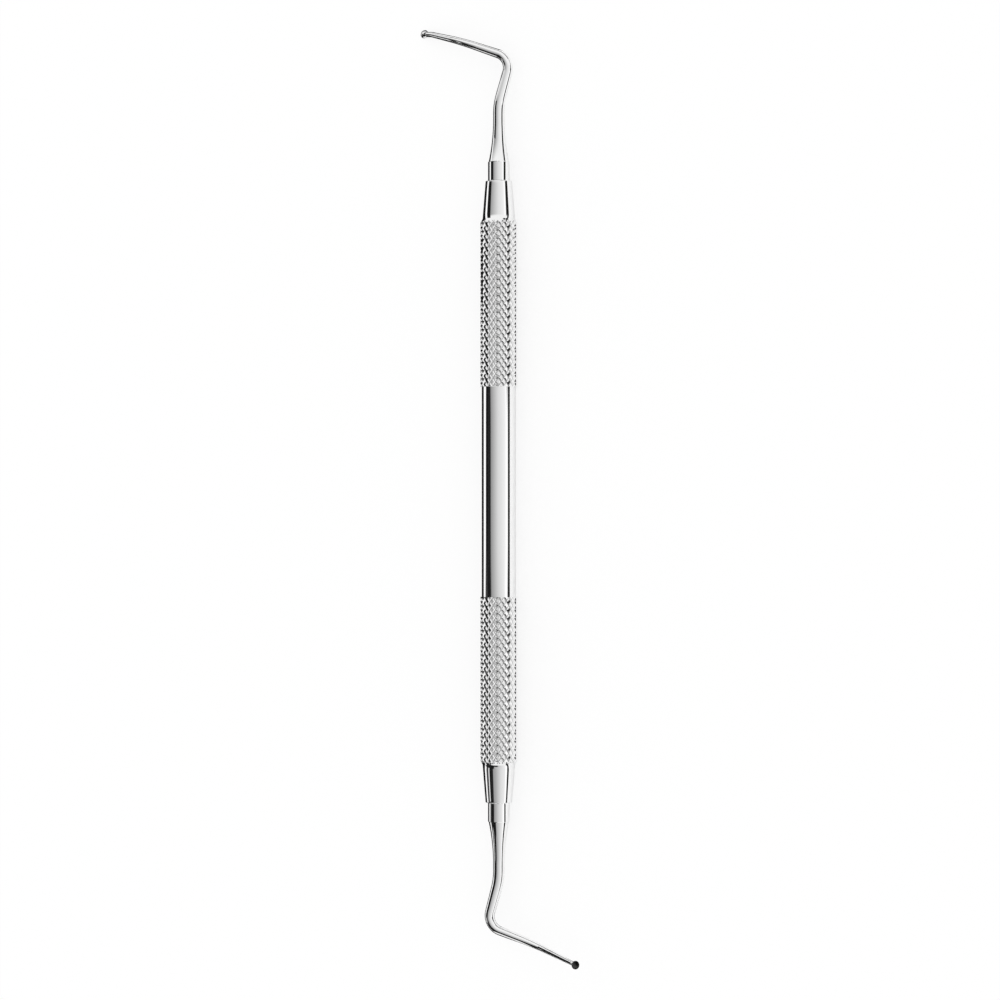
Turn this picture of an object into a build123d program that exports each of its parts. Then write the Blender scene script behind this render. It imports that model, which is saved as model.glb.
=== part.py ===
from build123d import *
import os
from math import asin, atan2, cos, hypot, pi, radians, sin, sqrt, tan

os.makedirs("parts", exist_ok=True)

# Double-ended dental spoon excavator, in millimetres.
# The handle lies along Y with its middle over the origin, and the table is at Z = 0.

# Handle, turned from one bar
barrel_diameter = 6.0
barrel_length = 37.0
grip_length = 28.8
grip_runout = 0.72
nose_base_diameter = 5.7
nose_middle_diameter = 5.19
nose_end_diameter = 4.66
nose_length = 6.65
nose_chamfer = 0.15

# Diamond knurl on both grips
knurl_diameter = 6.45
knurl_depth = 0.2
knurl_starts = 20
diamond_length = 1.44
runout_step = 0.04

# Sockets drilled into both ends of the handle
socket_clearance = 0.01
socket_relief = 1.2
drill_point_angle = 118

# Working end, turned part
tang_diameter = 3.0
tang_length = 10.0
collar_diameter = 3.78
collar_length = 3.4
shank_root_diameter = 3.56
shank_diameter = 1.98
shank_taper_length = 7.6

# Working end, bent and tapered wire
first_bend_height = 10.15
first_bend_radius = 12.0
lean_angle = 15.0
lean_length = 8.4
knee_radius = 2.8
knee_diameter = 1.68
arm_rise_angle = 20.2
arm_first_sideways_angle = 13.2
arm_first_length = 9.41
arm_second_sideways_angle = 44.5
arm_second_length = 10.25
side_bend_radius = 6.7
side_bend_diameter = 1.3
neck_length = 0.9
neck_diameter = 0.9
neck_tip_diameter = 0.5
bend_step = 17.0

# Spoon
spoon_diameter = 1.5
spoon_depth = 0.5
spoon_sideways_angle = 29.0
bowl_diameter = 1.36
bowl_depth = 0.26
neck_seat_depth = 0.2
face_flat_length = 1.5

# Stations along the handle, measured from its middle
barrel_end = barrel_length / 2
grip_end = barrel_end + grip_length
nose_start = grip_end + grip_runout
nose_end = nose_start + nose_length
tang_tip = nose_end - tang_length
socket_floor = tang_tip - socket_relief
collar_end = nose_end + collar_length
taper_end = collar_end + shank_taper_length
first_bend = collar_end + first_bend_height

# The knurl's points stand in straight lines along the handle, and it lies on two of those lines.
point_spacing = pi / knurl_starts
axis_height = knurl_diameter / 2 * cos(point_spacing / 2)
handle_axis = Axis((0, 0, axis_height), (0, 1, 0))
handle_plane = Plane.XY.offset(axis_height)


def reach(length, sideways_angle, rise_angle):
    """A step along a working end's wire: X across the handle, Y along it, Z sideways."""
    flat = length * cos(radians(sideways_angle))
    across = flat * cos(radians(rise_angle))
    along = flat * sin(radians(rise_angle))
    return Vector(across, along, length * sin(radians(sideways_angle)))


# Corners of the wire's centreline, and the spoon's face, which is turned back from the arm's line
wire_start = Vector(0, taper_end, 0)
lean_start = Vector(0, first_bend, 0)
knee = lean_start + reach(lean_length, 0, 90 + lean_angle)
side_bend = knee + reach(arm_first_length, arm_first_sideways_angle, arm_rise_angle)
spoon_centre = side_bend + reach(arm_second_length, arm_second_sideways_angle, arm_rise_angle)
spoon_direction = reach(1, spoon_sideways_angle, arm_rise_angle)
spoon_normal = reach(1, spoon_sideways_angle + 90, arm_rise_angle)
wire_end = spoon_centre - spoon_normal * neck_seat_depth

# The instrument rolls on its grips until the rim of one spoon meets the table.
spoon_reach = hypot(spoon_centre.X, spoon_centre.Z)
spoon_bearing = atan2(spoon_centre.Z, spoon_centre.X)
roll = spoon_bearing
for _ in range(20):
    face_tilt = spoon_normal.X * sin(roll) - spoon_normal.Z * cos(roll)
    rim_drop = spoon_diameter / 2 * sqrt(1 - face_tilt**2)
    roll = spoon_bearing - asin((axis_height - rim_drop) / spoon_reach)

# One working end is drawn on this plane: local Y runs along the handle and X to the spoon's side.
bend_plane = Plane(
    origin=(0, 0, axis_height),
    x_dir=(-cos(roll), 0, sin(roll)),
    z_dir=(-sin(roll), 0, -cos(roll)),
)


def knurled_grip():
    """A closed solid of pointed diamonds, from the barrel's end to the nose."""
    point_radius = knurl_diameter / 2
    groove_radius = point_radius - knurl_depth
    runout_radius = nose_base_diameter / 2 - runout_step
    columns = 2 * knurl_starts
    rows = 2 * round(grip_length / diamond_length)
    first_angle = point_spacing / 2 - pi / 2

    def corner(column, row):
        """A diamond's point, a crossing of two grooves, or a corner of the run-out."""
        if row > rows:
            radius, station = runout_radius, nose_start
        else:
            radius = point_radius if (column + row) % 2 else groove_radius
            station = barrel_end + grip_length * row / rows
        angle = first_angle + column * point_spacing
        return Vector(radius * cos(angle), station, axis_height + radius * sin(angle))

    faces = []
    for row in range(rows + 1):
        for column in range(columns):
            near, right = corner(column, row), corner(column + 1, row)
            left, far = corner(column, row + 1), corner(column + 1, row + 1)
            if (column + row) % 2:
                triangles = ((near, right, left), (far, left, right))
            else:
                triangles = ((right, far, near), (left, near, far))
            faces += [Face(Wire.make_polygon(triangle)) for triangle in triangles]
    for row in (0, rows + 1):
        rim = [corner(column, row) for column in range(columns)]
        faces.append(Face(Wire.make_polygon(rim)))
    return Solid(Shell(faces))


# Handle: smooth barrel, two knurled grips and two tapered noses, with a blind socket in each nose
grip = knurled_grip()
nose_base = (nose_base_diameter / 2, nose_start)
nose_swell = (nose_middle_diameter / 2, (nose_start + nose_end) / 2)
nose_rim = (nose_end_diameter / 2, nose_end - nose_chamfer)
with BuildPart() as handle:
    with BuildSketch(handle_plane):
        with BuildLine():
            Line((0, nose_start), nose_base)
            Bezier(nose_base, nose_swell, nose_rim)
            Polyline(nose_rim, (nose_end_diameter / 2 - nose_chamfer, nose_end), (0, nose_end))
            Line((0, nose_end), (0, nose_start))
        make_face()
        mirror(about=Plane.XZ)
        with Locations((barrel_diameter / 4, 0)):
            Rectangle(barrel_diameter / 2, barrel_length)
    revolve(axis=handle_axis)
    add([grip, grip.mirror(Plane.XZ)])
    socket_radius = tang_diameter / 2 + socket_clearance
    drill_point = socket_radius / tan(radians(drill_point_angle / 2))
    with BuildSketch(handle_plane):
        with BuildLine():
            Polyline(
                (0, nose_end),
                (socket_radius, nose_end),
                (socket_radius, socket_floor),
                (0, socket_floor - drill_point),
                close=True,
            )
        make_face()
        mirror(about=Plane.XZ)
    revolve(axis=handle_axis, mode=Mode.SUBTRACT)
handle.part.label = "handle"
export_step(handle.part, "parts/handle.step")

# Upper working end: tang, collar, tapered shank, bent wire and spoon in one piece
with BuildPart() as upper_working_end:
    with BuildSketch(bend_plane):
        with BuildLine():
            Polyline(
                (shank_diameter / 2, taper_end),
                (0, taper_end),
                (0, tang_tip),
                (tang_diameter / 2, tang_tip),
                (tang_diameter / 2, nose_end),
                (collar_diameter / 2, nose_end),
                (collar_diameter / 2, collar_end),
                (shank_root_diameter / 2, collar_end),
            )
            TangentArc(
                (shank_diameter / 2, taper_end),
                (shank_root_diameter / 2, collar_end),
                tangent=(0, -1),
            )
        make_face()
    revolve(axis=handle_axis)

    turning_points = (wire_start, lean_start, knee, side_bend, wire_end)
    corners = [bend_plane.from_local_coords(point) for point in turning_points]
    with BuildLine() as route:
        FilletPolyline(*corners, radius=[first_bend_radius, knee_radius, side_bend_radius])
    first_run, *_, last_run = runs = route.wire().order_edges()
    sections = [(first_run @ 0, first_run % 0, shank_diameter)]
    for bend, diameter in zip(runs[1::2], (shank_diameter, knee_diameter, side_bend_diameter)):
        steps = round((bend % 0).get_angle(bend % 1) / bend_step)
        for step in range(steps + 1):
            sections.append((bend @ (step / steps), bend % (step / steps), diameter))
    neck = 1 - neck_length / last_run.length
    sections.append((last_run @ neck, last_run % neck, neck_diameter))
    sections.append((last_run @ 1, last_run % 1, neck_tip_diameter))
    for centre, direction, diameter in sections:
        sideways = bend_plane.z_dir.cross(direction)
        with BuildSketch(Plane(origin=centre, x_dir=sideways, z_dir=direction)):
            Circle(diameter / 2)
    loft(ruled=True)

    spoon_face = Plane(origin=spoon_centre, x_dir=spoon_direction, z_dir=spoon_normal)
    spoon_place = bend_plane.location * spoon_face.location
    spoon_radius = spoon_diameter / 2
    back_radius = (spoon_radius**2 + spoon_depth**2) / (2 * spoon_depth)
    bowl_radius = ((bowl_diameter / 2) ** 2 + bowl_depth**2) / (2 * bowl_depth)
    with Locations(spoon_place * Pos(0, 0, back_radius - spoon_depth)):
        Sphere(back_radius)
    with Locations(spoon_place * Pos(-face_flat_length, 0, 0)):
        Box(
            face_flat_length + 2 * back_radius,
            3 * back_radius,
            2 * back_radius,
            align=(Align.MIN, Align.CENTER, Align.MIN),
            mode=Mode.SUBTRACT,
        )
    with Locations(spoon_place * Pos(0, 0, bowl_radius - bowl_depth)):
        Sphere(bowl_radius, mode=Mode.SUBTRACT)
upper_working_end.part.label = "upper_working_end"
export_step(upper_working_end.part, "parts/upper_working_end.step")

# Lower working end: the same piece in the other hand, mirrored end to end and turned half round
with BuildPart() as lower_working_end:
    add(upper_working_end.part.mirror(Plane.XZ).rotate(handle_axis, 180))
lower_working_end.part.label = "lower_working_end"
export_step(lower_working_end.part, "parts/lower_working_end.step")
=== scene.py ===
from math import asin, atan2, cos, hypot, pi, radians, sin, sqrt, tan

import bmesh
import bpy
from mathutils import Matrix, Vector


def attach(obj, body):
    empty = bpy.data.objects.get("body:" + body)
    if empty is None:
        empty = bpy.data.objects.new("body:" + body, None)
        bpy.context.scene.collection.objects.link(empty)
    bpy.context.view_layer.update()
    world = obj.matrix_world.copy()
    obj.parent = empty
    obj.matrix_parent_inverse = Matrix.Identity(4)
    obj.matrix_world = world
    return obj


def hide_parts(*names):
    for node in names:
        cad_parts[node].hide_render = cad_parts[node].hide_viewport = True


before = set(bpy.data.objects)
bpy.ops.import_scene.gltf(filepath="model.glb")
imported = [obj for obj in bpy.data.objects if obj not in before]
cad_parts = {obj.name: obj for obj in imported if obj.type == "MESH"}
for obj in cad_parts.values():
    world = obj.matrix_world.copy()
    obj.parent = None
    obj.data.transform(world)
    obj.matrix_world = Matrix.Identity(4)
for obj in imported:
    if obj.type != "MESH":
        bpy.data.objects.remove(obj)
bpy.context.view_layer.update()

# Double-ended dental spoon excavator, in metres. It lies along Y, with the floor at Z = 0.
MM = 0.001

scene = bpy.context.scene
scene.view_settings.view_transform = "Standard"

# Camera: it looks straight down the instrument's own plane, which is rolled back from the floor's.
ROLL = radians(24.145)
AXIS_HEIGHT = 3.21506 * MM
CAMERA_DISTANCE = 594.35 * MM
PICTURE_WIDTH = 176.0 * MM
SENSOR_WIDTH = 36.0
CENTRE_ALONG = -1.443 * MM
CENTRE_RIGHT = 0.2112 * MM
picture_right = Vector((cos(ROLL), 0, -sin(ROLL)))
picture_back = Vector((sin(ROLL), 0, cos(ROLL)))
picture_centre = Vector((0, CENTRE_ALONG, AXIS_HEIGHT)) + picture_right * CENTRE_RIGHT

camera_data = bpy.data.cameras.new("camera")
camera_data.sensor_width = SENSOR_WIDTH
camera_data.lens = SENSOR_WIDTH * CAMERA_DISTANCE / PICTURE_WIDTH
camera_data.clip_start = 0.01
camera_data.clip_end = 20.0
camera = bpy.data.objects.new("camera", camera_data)
camera.location = picture_centre + picture_back * CAMERA_DISTANCE
camera.rotation_euler = (0, ROLL, 0)
scene.collection.objects.link(camera)
scene.camera = camera


def node(tree, kind, **values):
    """Adds a node and sets its properties."""
    made = tree.nodes.new(kind)
    for name, value in values.items():
        setattr(made, name, value)
    return made


def math_node(tree, operation, first, second=None, clamp=False):
    """A Math node; each argument is a socket or a number."""
    made = node(tree, "ShaderNodeMath", operation=operation, use_clamp=clamp)
    for place, value in enumerate((first, second)):
        if value is None:
            continue
        if isinstance(value, (int, float)):
            made.inputs[place].default_value = value
        else:
            tree.links.new(value, made.inputs[place])
    return made.outputs[0]


def ramp(tree, factor, stops):
    """A colour ramp of greys from (position, grey) pairs."""
    made = node(tree, "ShaderNodeValToRGB")
    elements = made.color_ramp.elements
    while len(elements) < len(stops):
        elements.new(0.5)
    for element, (position, grey) in zip(elements, stops):
        element.position = position
        element.color = (grey, grey, grey, 1)
    tree.links.new(factor, made.inputs[0])
    return made.outputs[0]


def mixed(tree, factor, first, second):
    """A mix of two shaders."""
    made = node(tree, "ShaderNodeMixShader")
    for place, value in enumerate((factor, first, second)):
        tree.links.new(value, made.inputs[place])
    return made.outputs[0]


def position(tree):
    """The X, Y and Z of the shaded point."""
    made = node(tree, "ShaderNodeSeparateXYZ")
    tree.links.new(node(tree, "ShaderNodeNewGeometry").outputs["Position"], made.inputs[0])
    return made.outputs


# World: an even white room for everything but reflections, and a studio for those
world = bpy.data.worlds.new("studio")
world.use_nodes = True
scene.world = world
tree = world.node_tree
tree.nodes.clear()
direction = node(tree, "ShaderNodeTexCoord").outputs["Generated"]
split = node(tree, "ShaderNodeSeparateXYZ")
tree.links.new(direction, split.inputs[0])
across, along, up = split.outputs
around = math_node(tree, "ARCTAN2", across, up)


def zone(stops):
    """The studio's greys round the handle, from (angle from straight up towards +X, grey) pairs."""
    turn = math_node(tree, "ADD", math_node(tree, "DIVIDE", around, 2 * pi), 0.5)
    return ramp(tree, turn, [(degrees / 360 + 0.5, grey) for degrees, grey in stops])


def fade(first, last):
    """Rises from 0 to 1 as a direction leans along the handle, from first to last."""
    slope = math_node(tree, "SUBTRACT", along, first)
    return math_node(tree, "DIVIDE", slope, last - first, clamp=True)


def blend(factor, first, second):
    """A mix of two colours."""
    made = node(tree, "ShaderNodeMixRGB")
    for place, value in enumerate((factor, first, second)):
        tree.links.new(value, made.inputs[place])
    return made.outputs[0]


# A black flag stands left of a softly graded ceiling. It leans, so its edges differ along the handle.
PALE_GREY = 0.93
level = zone([
    (-76, 1.1),
    (-73.5, 0.02),
    (-60, 0.005),
    (-51, 0.022),
    (-43, 0.011),
    (-33, 0.035),
    (-31.5, 0.28),
    (-10, 0.46),
    (20, 0.72),
    (50, 0.84),
    (69, 0.93),
    (74, 1.1),
    (87.5, 1.1),
    (89, 0.02),
])
rise = zone([
    (-74, 1.1),
    (-71, 0.01),
    (-39, 0.01),
    (-35, 0.3),
    (-14, 0.5),
    (20, 0.75),
    (54, 0.887),
    (64, 0.93),
    (70, 1.1),
    (76, 1.1),
    (78, 0.02),
])
upper = zone([
    (-76, 1.1),
    (-72, 0.35),
    (-41, 0.33),
    (-14, 0.53),
    (20, 0.775),
    (54, 0.887),
    (64, 0.93),
    (72, 1.1),
    (78.5, 1.1),
    (80, 0.02),
])
high = zone([(-90, PALE_GREY), (90, PALE_GREY)])
low = zone([
    (-81, 1.1),
    (-78, 0.06),
    (-60, 0.05),
    (-56, 0.01),
    (-30, 0.01),
    (-26, 0.3),
    (0, 0.48),
    (28, 0.7),
    (60, 0.85),
    (72, 1.1),
    (84, 1.1),
    (86, 0.02),
])
lower = zone([
    (-81, 1.1),
    (-79, 0.06),
    (-60, 0.06),
    (-58, 0.9),
    (-52, 0.9),
    (-50, 0.01),
    (-21, 0.02),
    (-18, 0.33),
    (0, 0.42),
    (28, 0.65),
    (42, 0.76),
    (72, 0.87),
    (76, 1.1),
    (87.5, 1.1),
    (89, 0.02),
])
steep = zone([
    (-80, 0.02),
    (-15, 0.01),
    (-9, 0.4),
    (20, 0.6),
    (45, 0.75),
    (72, 0.9),
    (80, 1.1),
])
steeper = zone([
    (-80, 0.02),
    (12, 0.01),
    (20, 0.5),
    (45, 0.75),
    (72, 0.9),
    (80, 1.1),
])
deep = zone([(-90, PALE_GREY), (90, PALE_GREY)])

# Where each zone takes over from the one before, by how far a direction leans along the handle
bands = [
    (0.025, 0.045, rise),
    (0.16, 0.2, upper),
    (0.3, 0.45, high),
    (-0.015, -0.03, low),
    (-0.12, -0.17, lower),
    (-0.34, -0.37, steep),
    (-0.5, -0.53, steeper),
    (-0.72, -0.78, deep),
]
room = level
for first, last, colours in bands:
    room = blend(fade(first, last), room, colours)

# A dark rail runs across beyond the upper end, just over the horizon.
RAIL_BOTTOM = 0.04
RAIL_TOP = 0.24
RAIL_START = 0.7
RAIL_GREY = 0.02
over = math_node(tree, "GREATER_THAN", up, RAIL_BOTTOM)
under = math_node(tree, "LESS_THAN", up, RAIL_TOP)
ahead = math_node(tree, "GREATER_THAN", along, RAIL_START)
rail = math_node(tree, "MULTIPLY", math_node(tree, "MULTIPLY", over, under), ahead)
room = blend(rail, room, zone([(-90, RAIL_GREY), (90, RAIL_GREY)]))
studio = node(tree, "ShaderNodeBackground")
tree.links.new(room, studio.inputs["Color"])
plain = node(tree, "ShaderNodeBackground")
plain.inputs["Color"].default_value = (1, 1, 1, 1)
glossy = node(tree, "ShaderNodeLightPath").outputs["Is Glossy Ray"]
output = node(tree, "ShaderNodeOutputWorld")
tree.links.new(mixed(tree, glossy, plain.outputs[0], studio.outputs[0]), output.inputs[0])

# Black that only reflections see, for the cards round the instrument
CARD_GREY = 0.01
card_black = bpy.data.materials.new("card_black")
card_black.use_nodes = True
tree = card_black.node_tree
black = tree.nodes["Principled BSDF"]
black.inputs["Base Color"].default_value = (CARD_GREY, CARD_GREY, CARD_GREY, 1)
black.inputs["Specular IOR Level"].default_value = 0.0
clear = node(tree, "ShaderNodeBsdfTransparent")
glossy = node(tree, "ShaderNodeLightPath").outputs["Is Glossy Ray"]
surface = mixed(tree, glossy, clear.outputs[0], black.outputs[0])
tree.links.new(surface, tree.nodes["Material Output"].inputs[0])

# Curved black cards beside the upper nose and both shanks
CARD_STEPS = 10
upper_flag_rows = [
    (50, -66, -36.5),
    (53, -66, -37),
    (58, -67, -38),
    (62, -64, -39),
]
upper_shank_rows = [
    (64, -68, -31),
    (71, -68, -31),
]
lower_shank_rows = [
    (-61, -52, -19),
    (-76, -52, -24),
]


def curved_flag(name, radius, rows):
    """A card curved round the handle, from rows of station in mm and its two edges in degrees."""
    mesh = bmesh.new()
    previous = []
    for along_handle, left, right in rows:
        current = []
        for step in range(CARD_STEPS + 1):
            angle = radians(left + (right - left) * step / CARD_STEPS)
            place = (radius * sin(angle), along_handle * MM, AXIS_HEIGHT + radius * cos(angle))
            current.append(mesh.verts.new(place))
        for k in range(1, len(previous)):
            mesh.faces.new((previous[k - 1], previous[k], current[k], current[k - 1]))
        previous = current
    data = bpy.data.meshes.new(name)
    mesh.to_mesh(data)
    mesh.free()
    data.materials.append(card_black)
    flag = bpy.data.objects.new(name, data)
    scene.collection.objects.link(flag)


curved_flag("upper_flag", 25 * MM, upper_flag_rows)
curved_flag("upper_shank_flag", 8 * MM, upper_shank_rows)
curved_flag("lower_shank_flag", 25 * MM, lower_shank_rows)

# Floor: white paper that keeps a faint shadow. Reflections see dark mats on it, on both sides.
FLOOR_REACH = 3.0
FLOOR_GLOW = 0.8
MAT_GREY = 0.01
LEFT_MAT = -37 * MM
UPPER_LEFT_MAT = -150 * MM
UPPER_MAT_START = 48 * MM
RIGHT_MAT = 20 * MM
MAT_END = 86 * MM
SHANK_RIGHT_MAT = 12 * MM
SHANK_MAT_START = 61 * MM
SHANK_MAT_END = 76 * MM
floor_mesh = bpy.data.meshes.new("floor")
square = ((-1, -1), (1, -1), (1, 1), (-1, 1))
corners = [(x * FLOOR_REACH, y * FLOOR_REACH, 0) for x, y in square]
floor_mesh.from_pydata(corners, [], [(0, 1, 2, 3)])
floor_material = bpy.data.materials.new("floor_white")
floor_material.use_nodes = True
tree = floor_material.node_tree
shader = tree.nodes["Principled BSDF"]
shader.inputs["Roughness"].default_value = 1.0
shader.inputs["Specular IOR Level"].default_value = 0.0
floor_x, floor_y, _ = position(tree)
upper_half = math_node(tree, "GREATER_THAN", floor_y, UPPER_MAT_START)
mat_reach = math_node(tree, "MULTIPLY", upper_half, UPPER_LEFT_MAT - LEFT_MAT)
left_edge = math_node(tree, "ADD", mat_reach, LEFT_MAT)
left_mat = math_node(tree, "GREATER_THAN", floor_x, left_edge)
left_half = math_node(tree, "LESS_THAN", floor_x, 0.0)
left_mat = math_node(tree, "MULTIPLY", left_mat, left_half)
before_end = math_node(tree, "LESS_THAN", floor_y, MAT_END)
left_mat = math_node(tree, "MULTIPLY", left_mat, before_end)
from_middle = math_node(tree, "ABSOLUTE", floor_y)
past_start = math_node(tree, "GREATER_THAN", from_middle, SHANK_MAT_START)
before_end = math_node(tree, "LESS_THAN", from_middle, SHANK_MAT_END)
by_shank = math_node(tree, "MULTIPLY", past_start, before_end)
right_edge = math_node(tree, "MULTIPLY", by_shank, SHANK_RIGHT_MAT - RIGHT_MAT)
right_edge = math_node(tree, "ADD", right_edge, RIGHT_MAT)
right_mat = math_node(tree, "GREATER_THAN", floor_x, right_edge)
mats = math_node(tree, "ADD", left_mat, right_mat, clamp=True)
rays = node(tree, "ShaderNodeLightPath")
seen_mats = math_node(tree, "MULTIPLY", mats, rays.outputs["Is Glossy Ray"])
tree.links.new(ramp(tree, seen_mats, [(0.0, 1.0), (1.0, MAT_GREY)]), shader.inputs["Base Color"])
white = node(tree, "ShaderNodeEmission")
glow = math_node(tree, "MULTIPLY", rays.outputs["Is Camera Ray"], FLOOR_GLOW)
surface = mixed(tree, glow, shader.outputs[0], white.outputs[0])
tree.links.new(surface, tree.nodes["Material Output"].inputs[0])
floor_mesh.materials.append(floor_material)
floor = bpy.data.objects.new("floor", floor_mesh)
scene.collection.objects.link(floor)


# Handle sizes, as the CAD has them; here the knurl has flat lands and is moved on by one row.
BARREL_END = 18.5 * MM
GRIP_END = 47.3 * MM
NOSE_START = 48.02 * MM
NOSE_END = 54.67 * MM
BARREL_RADIUS = 3.0 * MM
LAND_RADIUS = 3.225 * MM
NOSE_BASE_RADIUS = 2.85 * MM
NOSE_MIDDLE_RADIUS = 2.595 * MM
NOSE_END_RADIUS = 2.33 * MM
SOCKET_RADIUS = 1.51 * MM
SOCKET_FLOOR = 43.47 * MM
DRILL_POINT = 0.9 * MM
DRILL_TIP_RADIUS = 0.01 * MM
BARREL_EDGE = 0.03 * MM
RIM_ROUNDING = 0.15 * MM
RIM_STEPS = 4
NOSE_STEPS = 8
RUNOUT_STEPS = 6
CREASE = radians(24)
SAME_PLACE = 1e-7
SAME_STATION = 1e-6
GROOVES = 20
COLUMN_ANGLE = pi / GROOVES
ROW_LENGTH = 0.72 * MM
ROWS_MOVED = 1
ROWS_BEFORE = 1
ROWS_AFTER = 4
GROOVE_DEPTH = 0.19 * MM
GROOVE_HALF = 0.26
FIRST_COLUMN = COLUMN_ANGLE / 2 - pi / 2


def on_handle(angle, radius, along):
    """A point on the handle: angle goes round it from +X towards +Z."""
    return (radius * cos(angle), along, AXIS_HEIGHT + radius * sin(angle))


def groove_drop(distance):
    """How far the surface lies below the lands, by the distance from the nearest groove's bottom."""
    return GROOVE_DEPTH * max(0.0, 1 - distance / GROOVE_HALF)


def knurled_grip(mesh):
    """Adds the diamonds of one grip to mesh, a row or more past both of its ends."""
    lines = [0.0, GROOVE_HALF, 0.5, 1 - GROOVE_HALF]
    count = len(lines)
    made = {}

    def corner(a, b):
        """The vertex where line a of one hand's grooves crosses line b of the other's."""
        first = a // count + lines[a % count]
        second = b // count + lines[b % count]
        turns = int((first + second) // (2 * GROOVES) + 1e-9)
        key = (a - turns * GROOVES * count, b - turns * GROOVES * count)
        if key not in made:
            near = [min(value % 1, 1 - value % 1) for value in (first, second)]
            radius = LAND_RADIUS - max(groove_drop(distance) for distance in near)
            angle = FIRST_COLUMN + (first + second) * COLUMN_ANGLE
            along = BARREL_END + (first - second - ROWS_MOVED) * ROW_LENGTH
            made[key] = mesh.verts.new(on_handle(angle, radius, along))
        return made[key]

    rows = round((GRIP_END - BARREL_END) / ROW_LENGTH)
    for column in range(2 * GROOVES):
        for row in range(-ROWS_BEFORE, rows + ROWS_AFTER):
            if (column + row) % 2 == 0:
                continue
            a0 = (column - 1 + row) // 2 * count
            b0 = (column - 1 - row) // 2 * count
            for i in range(count):
                for j in range(count):
                    near, right = corner(a0 + i, b0 + j), corner(a0 + i + 1, b0 + j)
                    far, left = corner(a0 + i + 1, b0 + j + 1), corner(a0 + i, b0 + j + 1)
                    if (i < count / 2) == (j < count / 2):
                        mesh.faces.new((near, left, far))
                        mesh.faces.new((near, far, right))
                    else:
                        mesh.faces.new((near, left, right))
                        mesh.faces.new((left, far, right))


def cut(mesh, along, side=0):
    """Cuts mesh across the handle; side 1 or -1 also takes away what lies beyond or before the cut."""
    geometry = mesh.verts[:] + mesh.edges[:] + mesh.faces[:]
    bmesh.ops.bisect_plane(
        mesh, geom=geometry, dist=SAME_PLACE, plane_co=(0, along, 0), plane_no=(0, 1, 0),
        clear_outer=side > 0, clear_inner=side < 0,
    )


def ring_at(mesh, along):
    """The open rim of mesh at this station, in order round the handle."""
    rim = [v for v in mesh.verts if v.is_boundary and abs(v.co.y - along) < SAME_STATION]
    return sorted(rim, key=lambda v: atan2(v.co.z - AXIS_HEIGHT, v.co.x))


def turned(mesh, ring, profile):
    """Goes on from a ring through the stations and radii of profile, and returns the last ring."""
    for along, radius in profile:
        angles = [atan2(v.co.z - AXIS_HEIGHT, v.co.x) for v in ring]
        new = [mesh.verts.new(on_handle(angle, radius, along)) for angle in angles]
        for k in range(len(ring)):
            mesh.faces.new((ring[k - 1], ring[k], new[k], new[k - 1]))
        ring = new
    return ring


def finished(mesh, name):
    """Turns a bmesh into mesh data with smooth faces and crisp creases."""
    bmesh.ops.recalc_face_normals(mesh, faces=mesh.faces)
    for face in mesh.faces:
        face.smooth = True
    for edge in mesh.edges:
        if len(edge.link_faces) == 2 and edge.calc_face_angle(0) > CREASE:
            edge.smooth = False
    data = bpy.data.meshes.new(name)
    mesh.to_mesh(data)
    mesh.free()
    return data


def trim_runout(mesh):
    """Turns the grip's end down to the nose, where it stands out over the chamfer."""
    for step in range(RUNOUT_STEPS):
        cut(mesh, GRIP_END + (NOSE_START - GRIP_END) * step / RUNOUT_STEPS)
    for vertex in mesh.verts:
        beyond = (vertex.co.y - GRIP_END) / (NOSE_START - GRIP_END)
        if beyond <= 0:
            continue
        across, up = vertex.co.x, vertex.co.z - AXIS_HEIGHT
        radius = hypot(across, up)
        limit = LAND_RADIUS + (NOSE_BASE_RADIUS - LAND_RADIUS) * beyond
        if radius > limit:
            vertex.co.x = across * limit / radius
            vertex.co.z = AXIS_HEIGHT + up * limit / radius


def nose_profile():
    """Stations and radii of the crowned nose, its rounded rim and its socket."""
    profile = []
    rim = NOSE_END - RIM_ROUNDING
    bulge = NOSE_MIDDLE_RADIUS - (NOSE_BASE_RADIUS + NOSE_END_RADIUS) / 2
    for step in range(1, NOSE_STEPS + 1):
        share = step / NOSE_STEPS
        crown = 4 * share * (1 - share) * bulge
        radius = NOSE_BASE_RADIUS + (NOSE_END_RADIUS - NOSE_BASE_RADIUS) * share + crown
        profile.append((NOSE_START + (rim - NOSE_START) * share, radius))
    for step in range(1, RIM_STEPS + 1):
        turn = step / RIM_STEPS * pi / 2
        along = NOSE_END - RIM_ROUNDING * (1 - sin(turn))
        profile.append((along, NOSE_END_RADIUS - RIM_ROUNDING * (1 - cos(turn))))
    profile += [(NOSE_END, SOCKET_RADIUS), (SOCKET_FLOOR, SOCKET_RADIUS)]
    profile.append((SOCKET_FLOOR - DRILL_POINT, DRILL_TIP_RADIUS))
    return profile


def build_handle():
    """The whole handle: barrel, knurled grips, noses and sockets, as one closed mesh."""
    mesh = bmesh.new()
    knurled_grip(mesh)
    cut(mesh, BARREL_END, -1)
    cut(mesh, NOSE_START, 1)
    trim_runout(mesh)
    turned(mesh, ring_at(mesh, BARREL_END), [
        (BARREL_END, BARREL_RADIUS + BARREL_EDGE),
        (BARREL_END - BARREL_EDGE, BARREL_RADIUS),
        (0, BARREL_RADIUS),
    ])
    last = turned(mesh, ring_at(mesh, NOSE_START), nose_profile())
    mesh.faces.new(last)
    geometry = mesh.verts[:] + mesh.edges[:] + mesh.faces[:]
    bmesh.ops.mirror(mesh, geom=geometry, axis="Y", merge_dist=-1)
    bmesh.ops.remove_doubles(mesh, verts=mesh.verts, dist=SAME_PLACE)
    return finished(mesh, "handle_body")


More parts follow.
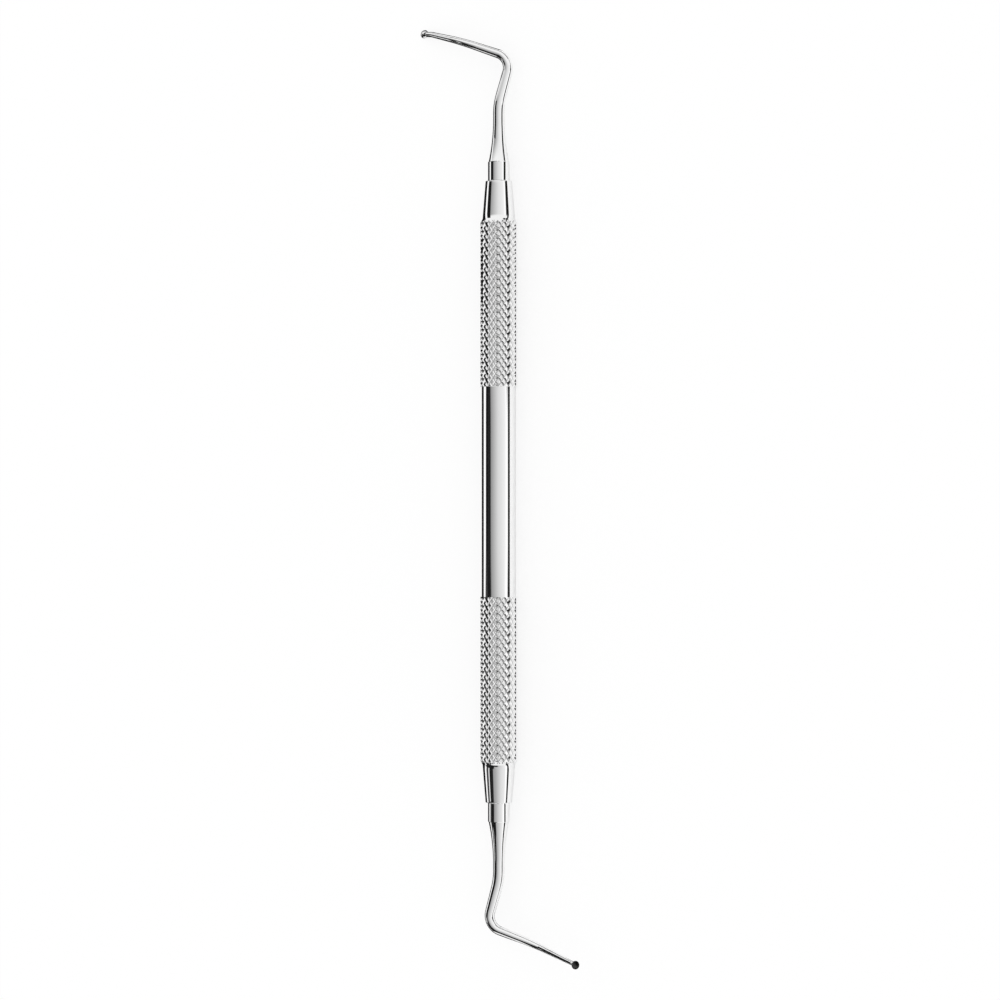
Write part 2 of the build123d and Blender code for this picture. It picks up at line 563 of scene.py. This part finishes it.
# Working-end sizes, as the CAD has them apart from a wider side bend and the upper spoon's drop.
# Here the wire tapers smoothly through its bends.
TANG_TIP = 44.67 * MM
TANG_RADIUS = 1.5 * MM
COLLAR_RADIUS = 1.89 * MM
COLLAR_END = 58.07 * MM
COLLAR_EDGE = 0.08 * MM
ROOT_RADIUS = 1.78 * MM
TAPER_END = 65.67 * MM
WIRE_RADIUS = 0.99 * MM
KNEE_RADIUS = 0.84 * MM
SIDE_BEND_RADIUS = 0.65 * MM
NECK_RADIUS = 0.45 * MM
NECK_TIP_RADIUS = 0.25 * MM
NECK_LENGTH = 0.9 * MM
FIRST_BEND = 68.22 * MM
BEND_RADII = [12.0 * MM, 2.8 * MM, 11.0 * MM]
LEAN_LENGTH = 8.4 * MM
LEAN_DIRECTION = 105
ARM_RISE = 20.2
ARM_FIRST_LENGTH = 9.41 * MM
ARM_FIRST_SIDEWAYS = 13.2
ARM_SECOND_LENGTH = 10.25 * MM
ARM_SECOND_SIDEWAYS = 44.5
FACE_SIDEWAYS = 119
SPOON_RADIUS = 0.75 * MM
SPOON_DEPTH = 0.5 * MM
BOWL_RADIUS = 0.68 * MM
BOWL_DEPTH = 0.26 * MM
NECK_SEAT = 0.2 * MM
FACE_REACH = 1.5 * MM
FACE_GAP = 0.01 * MM
UPPER_SPOON_DROP = 0.2 * MM
SEGMENTS = 40
TAPER_STEPS = 16
RUN_STEP = 0.5 * MM
BEND_STEP = radians(3)
ARM_STEPS = 16
FACE_STEPS = 30
SPOON_STEPS = 14


def reach(length, sideways, rise):
    """A step along the wire: X across the handle, Y along it, Z sideways; angles in degrees."""
    flat = length * cos(radians(sideways))
    across = flat * cos(radians(rise))
    return Vector((across, flat * sin(radians(rise)), length * sin(radians(sideways))))


lean_start = Vector((0, FIRST_BEND, 0))
knee = lean_start + reach(LEAN_LENGTH, 0, LEAN_DIRECTION)
side_bend = knee + reach(ARM_FIRST_LENGTH, ARM_FIRST_SIDEWAYS, ARM_RISE)
spoon_centre = side_bend + reach(ARM_SECOND_LENGTH, ARM_SECOND_SIDEWAYS, ARM_RISE)
spoon_normal = reach(1, FACE_SIDEWAYS, ARM_RISE)
wire_end = spoon_centre - spoon_normal * NECK_SEAT
wire_corners = [Vector((0, TAPER_END, 0)), lean_start, knee, side_bend, wire_end]


def placed(point, hand):
    """A working end's point in the scene: hand is 1 for the upper end and -1 for the lower one."""
    side = Vector((-cos(ROLL), 0, sin(ROLL)))
    back = Vector((-sin(ROLL), 0, -cos(ROLL)))
    turned_point = side * point.x + Vector((0, point.y, 0)) + back * point.z
    return turned_point * hand + Vector((0, 0, AXIS_HEIGHT))


def wire_stations():
    """Points and directions along the wire, and the marks at its bends' middles."""
    stations = [(wire_corners[0], (wire_corners[1] - wire_corners[0]).normalized())]
    marks = []
    for k, radius in enumerate(BEND_RADII):
        before = (wire_corners[k + 1] - wire_corners[k]).normalized()
        after = (wire_corners[k + 2] - wire_corners[k + 1]).normalized()
        bend = before.angle(after)
        inward = (after - before * cos(bend)) / sin(bend)
        first = wire_corners[k + 1] - before * radius * tan(bend / 2)
        run = (first - stations[-1][0]).length
        for _ in range(1, max(1, round(run / RUN_STEP))):
            stations.append((stations[-1][0] + before * RUN_STEP, before))
        steps = max(4, round(bend / BEND_STEP))
        for step in range(steps + 1):
            turn = bend * step / steps
            place = first + (before * sin(turn) + inward * (1 - cos(turn))) * radius
            stations.append((place, before * cos(turn) + inward * sin(turn)))
            if step == steps // 2:
                marks.append(len(stations) - 1)
    arm_start, direction = stations[-1]
    face_start = wire_end - direction * FACE_REACH
    for step in range(1, ARM_STEPS + 1):
        stations.append((arm_start.lerp(face_start, step / ARM_STEPS), direction))
    for step in range(1, FACE_STEPS + 1):
        stations.append((face_start.lerp(wire_end, step / FACE_STEPS), direction))
    return stations, marks


def wire_rings():
    """Centre, direction and radius of each ring of the wire."""
    stations, marks = wire_stations()
    lengths = [0.0]
    for first, second in zip(stations, stations[1:]):
        lengths.append(lengths[-1] + (second[0] - first[0]).length)
    given = [
        (0.0, WIRE_RADIUS),
        (lengths[marks[0]], WIRE_RADIUS),
        (lengths[marks[1]], KNEE_RADIUS),
        (lengths[marks[2]], SIDE_BEND_RADIUS),
        (lengths[-1] - NECK_LENGTH, NECK_RADIUS),
        (lengths[-1], NECK_TIP_RADIUS),
    ]
    rings = []
    for (place, direction), length in zip(stations, lengths):
        for (start, first), (end, second) in zip(given, given[1:]):
            if length <= end + 1e-9:
                radius = first + (second - first) * (length - start) / (end - start)
                break
        rings.append((place, direction, radius))
    return rings


def tube(mesh, rings):
    """Joins rings into a closed tube; each ring is a centre, a direction and a radius."""
    previous = []
    for centre, direction, radius in rings:
        sideways = Vector((0, 0, 1)).cross(direction).normalized()
        upward = direction.cross(sideways)
        current = []
        for k in range(SEGMENTS):
            turn = 2 * pi * k / SEGMENTS
            outward = sideways * cos(turn) + upward * sin(turn)
            current.append(mesh.verts.new(centre + outward * radius))
        for k in range(len(previous)):
            mesh.faces.new((previous[k - 1], previous[k], current[k], current[k - 1]))
        if not previous:
            mesh.faces.new(current[::-1])
        previous = current
    mesh.faces.new(previous)


def sphere_radius(rim, depth):
    """The radius of the sphere whose cap has this rim radius and depth."""
    return (rim ** 2 + depth ** 2) / (2 * depth)


def spoon_rings():
    """The spoon's back, its ground rim and its bowl, turned about the face's normal."""
    back = sphere_radius(SPOON_RADIUS, SPOON_DEPTH)
    bowl = sphere_radius(BOWL_RADIUS, BOWL_DEPTH)
    profile = []
    edge = asin(SPOON_RADIUS / back)
    for step in range(1, SPOON_STEPS + 1):
        turn = edge * step / SPOON_STEPS
        profile.append((back * sin(turn), back - SPOON_DEPTH - back * cos(turn)))
    edge = asin(BOWL_RADIUS / bowl)
    for step in range(SPOON_STEPS, 0, -1):
        turn = edge * step / SPOON_STEPS
        profile.append((bowl * sin(turn), bowl - BOWL_DEPTH - bowl * cos(turn)))
    return [(spoon_centre + spoon_normal * height, spoon_normal, radius) for radius, height in profile]


def under_face(point):
    """Moves a point of the neck below the spoon's ground face, and out of its bowl."""
    offset = point - spoon_centre
    height = offset.dot(spoon_normal)
    distance = (offset - spoon_normal * height).length
    if distance > FACE_REACH:
        return point
    limit = -FACE_GAP
    if distance < BOWL_RADIUS:
        bowl = sphere_radius(BOWL_RADIUS, BOWL_DEPTH)
        limit += bowl - BOWL_DEPTH - sqrt(bowl ** 2 - distance ** 2)
    return point - spoon_normal * max(0.0, height - limit)


def shaft_rings():
    """Rings of the turned part: tang, bevelled collar and tapered shank."""
    shaft = [(TANG_TIP, TANG_RADIUS), (NOSE_END, TANG_RADIUS)]
    shaft += [(NOSE_END, COLLAR_RADIUS - COLLAR_EDGE), (NOSE_END + COLLAR_EDGE, COLLAR_RADIUS)]
    shaft += [(COLLAR_END - COLLAR_EDGE, COLLAR_RADIUS), (COLLAR_END, COLLAR_RADIUS - COLLAR_EDGE)]
    taper_length = TAPER_END - COLLAR_END
    sweep = 2 * atan2(ROOT_RADIUS - WIRE_RADIUS, taper_length)
    arc = taper_length / sin(sweep)
    for step in range(TAPER_STEPS + 1):
        turn = sweep * (1 - step / TAPER_STEPS)
        shaft.append((TAPER_END - arc * sin(turn), WIRE_RADIUS + arc * (1 - cos(turn))))
    ahead = Vector((0, 1, 0))
    return [(Vector((0, along, 0)), ahead, radius) for along, radius in shaft]


def build_end(hand):
    """A working end: hand is 1 for the upper one and -1 for the lower one."""
    mesh = bmesh.new()
    tube(mesh, shaft_rings() + wire_rings()[1:])
    for vertex in mesh.verts:
        vertex.co = under_face(vertex.co)
    tube(mesh, spoon_rings())
    if hand > 0:
        for vertex in mesh.verts:
            away = (vertex.co - spoon_centre).length - SPOON_RADIUS
            share = min(1.0, max(0.0, 1 - away / FACE_REACH))
            vertex.co.y -= UPPER_SPOON_DROP * share
    for vertex in mesh.verts:
        vertex.co = placed(vertex.co, hand)
    return finished(mesh, "working_end_body")


def card(name, first, last, angle, lean, distance, width):
    """A black card along a line, off to one side: angle from up towards +X, lean towards +Y."""
    flat = cos(radians(lean))
    seen = Vector((flat * sin(radians(angle)), sin(radians(lean)), flat * cos(radians(angle))))
    half = (last - first).cross(seen).normalized() * width / 2
    corners = [first - half, last - half, last + half, first + half]
    data = bpy.data.meshes.new(name)
    data.from_pydata([corner + seen * distance for corner in corners], [], [(0, 1, 2, 3)])
    data.materials.append(card_black)
    made = bpy.data.objects.new(name, data)
    scene.collection.objects.link(made)


# Cards: one along each arm, that draws its dark line
card(
    "lower_arm_card", placed(knee, -1), placed(side_bend, -1),
    angle=-11, lean=-26, distance=8 * MM, width=3.4 * MM,
)
card(
    "upper_arm_card", placed(side_bend, 1), placed(spoon_centre, 1),
    angle=-75.5, lean=-4, distance=6 * MM, width=1.8 * MM,
)


# Steel: fine rings left by turning and polishing vary its roughness along the instrument
RINGS_PER_METRE = 6000.0
SMOOTHEST = 0.035
ROUGHEST = 0.055
POLISHED_GREY = 0.95
# Painted shade: where the knurl's groove bottoms start to darken, and the grey they darken to
GROOVE_SHADE_START = 0.65
GROOVE_SHADE_GREY = 0.45
# Painted reflection: the near-black base colour of both spoons' bowls
BOWL_REFLECTION_GREY = 0.05
BARREL_MARGIN = 0.05 * MM
RIM_SHARE = 0.04 * MM


def steel(name):
    """Polished stainless steel."""
    material = bpy.data.materials.new(name)
    material.use_nodes = True
    tree = material.node_tree
    shader = tree.nodes["Principled BSDF"]
    shader.inputs["Metallic"].default_value = 1.0
    shader.inputs["Base Color"].default_value = (POLISHED_GREY, POLISHED_GREY, POLISHED_GREY, 1)
    _, along, _ = position(tree)
    rings = node(tree, "ShaderNodeTexNoise", noise_dimensions="1D")
    tree.links.new(math_node(tree, "MULTIPLY", along, RINGS_PER_METRE), rings.inputs["W"])
    rings.inputs["Scale"].default_value = 1.0
    roughness = ramp(tree, rings.outputs["Fac"], [(0.3, SMOOTHEST), (0.7, ROUGHEST)])
    tree.links.new(roughness, shader.inputs["Roughness"])
    return material


def paint_groove_shade(material):
    """Paints shade into the bottoms of the knurl's grooves: the base colour darkens with depth, where
    shade falls in them.
    """
    tree = material.node_tree
    across, along, height = position(tree)
    across = math_node(tree, "POWER", across, 2)
    upward = math_node(tree, "POWER", math_node(tree, "SUBTRACT", height, AXIS_HEIGHT), 2)
    radius = math_node(tree, "SQRT", math_node(tree, "ADD", across, upward))
    depth = math_node(tree, "SUBTRACT", LAND_RADIUS, radius)
    depth = math_node(tree, "DIVIDE", depth, GROOVE_DEPTH, clamp=True)
    from_middle = math_node(tree, "ABSOLUTE", along)
    on_grip = math_node(tree, "GREATER_THAN", from_middle, BARREL_END + BARREL_MARGIN)
    on_grip = math_node(tree, "MULTIPLY", on_grip, math_node(tree, "LESS_THAN", from_middle, GRIP_END))
    depth = math_node(tree, "MULTIPLY", depth, on_grip)
    # Painted shade: the base colour greys towards each groove's bottom
    grey = ramp(tree, depth, [(GROOVE_SHADE_START, POLISHED_GREY), (1.0, GROOVE_SHADE_GREY)])
    tree.links.new(grey, tree.nodes["Principled BSDF"].inputs["Base Color"])


def paint_bowl_reflections(material):
    """Paints a dark reflection into the insides of both spoons: their base colour turns near black
    there.
    """
    tree = material.node_tree
    point = node(tree, "ShaderNodeNewGeometry").outputs["Position"]
    bowl = sphere_radius(BOWL_RADIUS, BOWL_DEPTH)
    inside = []
    for hand in (1, -1):
        centre = placed(spoon_centre + spoon_normal * (bowl - BOWL_DEPTH), hand)
        if hand > 0:
            centre.y -= UPPER_SPOON_DROP
        away = node(tree, "ShaderNodeVectorMath", operation="DISTANCE")
        tree.links.new(point, away.inputs[0])
        away.inputs[1].default_value = centre
        inside.append(math_node(tree, "LESS_THAN", away.outputs["Value"], bowl + RIM_SHARE))
    both = math_node(tree, "ADD", inside[0], inside[1], clamp=True)
    # Painted reflection: the bowls' base colour is near black, standing in for a dark reflection
    grey = ramp(tree, both, [(0.0, POLISHED_GREY), (1.0, BOWL_REFLECTION_GREY)])
    tree.links.new(grey, tree.nodes["Principled BSDF"].inputs["Base Color"])


handle_steel = steel("handle_steel")
paint_groove_shade(handle_steel)
working_end_steel = steel("working_end_steel")
paint_bowl_reflections(working_end_steel)
for name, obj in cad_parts.items():
    material = handle_steel if name == "handle" else working_end_steel
    for slot in obj.material_slots:
        slot.material = material
    if not obj.material_slots:
        obj.data.materials.append(material)

bodies = [
    ("handle", build_handle(), handle_steel, "handle_steel"),
    ("upper_working_end", build_end(1), working_end_steel, "working_end_steel"),
    ("lower_working_end", build_end(-1), working_end_steel, "working_end_steel"),
]
for node_name, data, material, slot in bodies:
    body = bpy.data.objects.new(node_name + "_body", data)
    data.materials.append(material)
    scene.collection.objects.link(body)
    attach(body, "root")
    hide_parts(node_name)
